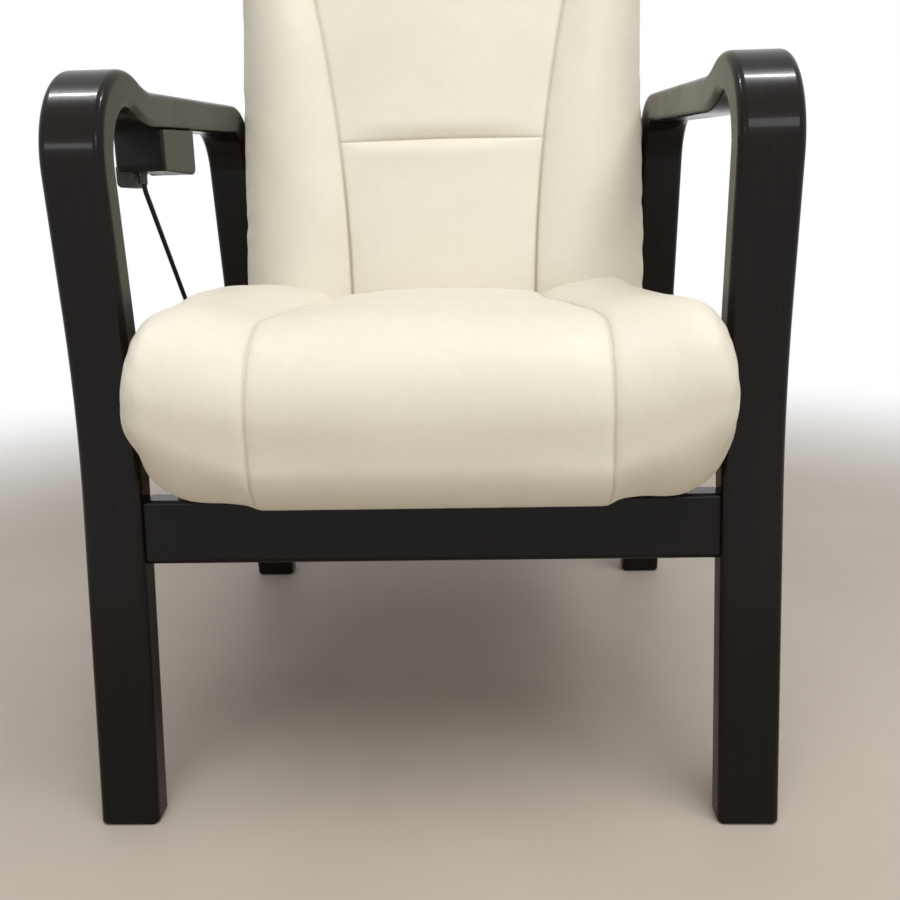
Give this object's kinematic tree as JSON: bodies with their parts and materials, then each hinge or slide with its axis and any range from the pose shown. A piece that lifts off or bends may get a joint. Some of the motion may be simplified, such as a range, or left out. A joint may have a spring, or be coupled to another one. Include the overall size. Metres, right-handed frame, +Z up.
{
  "type": "reclining lounge armchair",
  "caption": "High-backed reclining armchair with bent-wood side loops, a thick leather seat and back, and a squeeze lever under one arm that frees the back's locking gas spring.",
  "frame": {"origin": "on the floor, midway between the sides and midway between the front and the back of the whole chair", "axes": "+Z up, -Y the way a sitter faces, -X to the sitter's right, where the lever is"},
  "size_m": [0.56, 0.6769, 0.997],
  "materials": {
    "lacquered_wood": "near-black gloss lacquer",
    "plain_wood": "plain sanded wood",
    "cream_leather": "soft cream leather with a fine grain",
    "zinc_steel": "zinc plated",
    "black_steel": "black powder coat",
    "cast_alloy": "plain casting",
    "bright_rod": "hard chrome",
    "black_plastic": "matte black",
    "grey_plastic": "matte dark grey",
    "webbing": "woven elastic strap"
  },
  "bodies": {
    "frame": {"side_frame_left": "lacquered_wood", "side_frame_right": "lacquered_wood", "front_rail": "lacquered_wood", "rear_rail": "lacquered_wood", "rail_dowels": "plain_wood", "foot_glides": "black_plastic", "seat_bearer_left": "plain_wood", "seat_bearer_right": "plain_wood", "corner_brackets": "black_steel", "bracket_screws": "zinc_steel", "seat_board": "plain_wood", "seat_bolts": "zinc_steel", "seat_cushion": "cream_leather", "hinge_plate_left": "black_steel", "hinge_plate_right": "black_steel", "hinge_plate_bolts": "zinc_steel", "pivot_pins": "zinc_steel", "pivot_washers": "zinc_steel", "anchor_bracket": "black_steel", "anchor_screws": "zinc_steel", "anchor_pin": "zinc_steel", "spring_head": "cast_alloy", "gas_rod": "bright_rod", "lever_pin": "zinc_steel", "lever_housing": "black_plastic", "housing_screws": "zinc_steel", "paddle_pin": "zinc_steel", "cable_ferrule": "zinc_steel", "release_cable": "black_plastic", "cable_clips": "black_plastic"},
    "back": {"back_cushion": "cream_leather", "back_panel": "cream_leather", "back_rails": "plain_wood", "back_upright_left": "plain_wood", "back_upright_right": "plain_wood", "back_webbing": "webbing", "panel_screws": "zinc_steel", "hinge_arm_left": "black_steel", "hinge_arm_right": "black_steel", "hinge_arm_bolts": "zinc_steel", "torsion_tube": "black_steel", "crank_lugs": "black_steel", "crank_pin": "zinc_steel"},
    "gas_cylinder": {"gas_cylinder": "black_steel", "cylinder_eye": "black_steel"},
    "paddle": {"paddle": "grey_plastic"},
    "release_lever": {"release_lever": "black_steel"},
    "wire_upper": {"wire_upper": "zinc_steel"},
    "wire_lower": {"wire_lower": "zinc_steel"}
  },
  "joints": [
    {"name": "back_recline", "type": "hinge", "parent": "frame", "child": "back", "pos_m": [0, 0.14156, 0.2898], "axis": [-1, 0, 0], "range_deg": [0, 30]},
    {"name": "gas_swing", "type": "hinge", "parent": "back", "child": "gas_cylinder", "pos_m": [0, 0.15709, 0.23184], "axis": [-1, 0, 0], "range_deg": [-30, 0]},
    {"name": "paddle_squeeze", "type": "hinge", "parent": "frame", "child": "paddle", "pos_m": [-0.276, -0.03887, 0.5483], "axis": [-1, 0, 0], "range_deg": [0, 6], "stiffness_Nm_per_rad": 1.5, "springref_deg": -5.73},
    {"name": "release_turn", "type": "hinge", "parent": "frame", "child": "release_lever", "pos_m": [0.022, -0.17987, 0.23082], "axis": [0, 0, -1], "range_deg": [0, 6]},
    {"name": "wire_upper_slide", "type": "slide", "parent": "frame", "child": "wire_upper", "axis": [0, 0, 1], "range_m": [0, 0.0066]},
    {"name": "wire_lower_slide", "type": "slide", "parent": "frame", "child": "wire_lower", "axis": [0, 1, 0], "range_m": [0, 0.0066]}
  ],
  "couplings": [
    {"joint": "gas_swing", "follows": "back_recline", "ratio": -1},
    {"joint": "release_turn", "follows": "paddle_squeeze", "ratio": 1},
    {"joint": "wire_upper_slide", "follows": "paddle_squeeze", "m_per_rad": 0.062},
    {"joint": "wire_lower_slide", "follows": "paddle_squeeze", "m_per_rad": 0.062}
  ]
}
